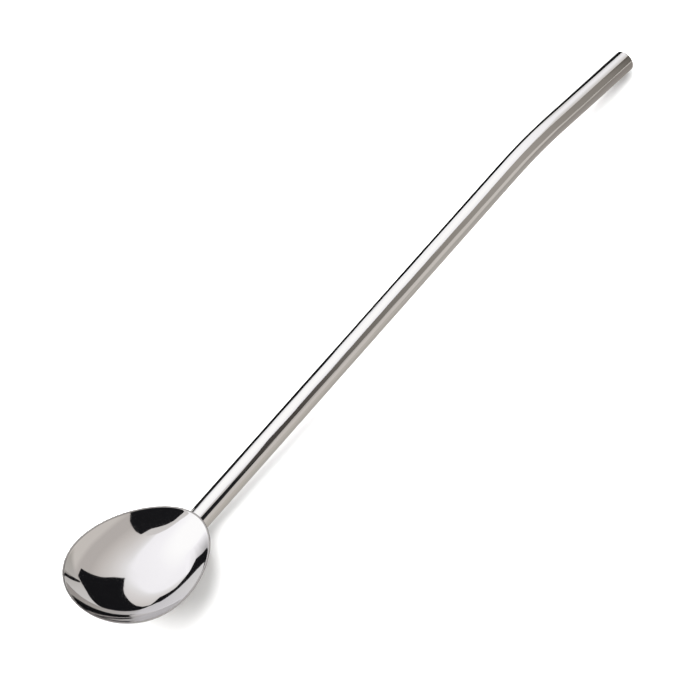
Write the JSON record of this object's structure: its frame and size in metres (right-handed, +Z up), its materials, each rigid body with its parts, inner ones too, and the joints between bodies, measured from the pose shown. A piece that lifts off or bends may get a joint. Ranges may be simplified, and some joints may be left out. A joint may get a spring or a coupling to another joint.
{
  "type": "spoon straw",
  "caption": "Steel drinking straw with a spoon bowl: a bent tube opens into a chamber behind the bowl, under a perforated strainer cap.",
  "frame": {"origin": "centre of the strainer cap's flat face, which rests on the table, z = 0", "axes": "+X along the straw from the bowl towards the mouth end, +Z up from the table, the straw is symmetric about y = 0"},
  "size_m": [0.2209, 0.0304, 0.0221],
  "materials": {
    "polished_steel": "mirror polished stainless steel",
    "tube_steel": "bright drawn stainless tube with fine lengthwise lines",
    "cap_steel": "polished stainless sheet, satin round the punched holes",
    "braze": "polished silver braze"
  },
  "bodies": {
    "root": {"spoon_bowl": "polished_steel", "straw_tube": "tube_steel", "strainer_cap": "cap_steel", "cap_braze_seam": "braze", "tube_braze_fillet": "braze"}
  },
  "joints": []
}
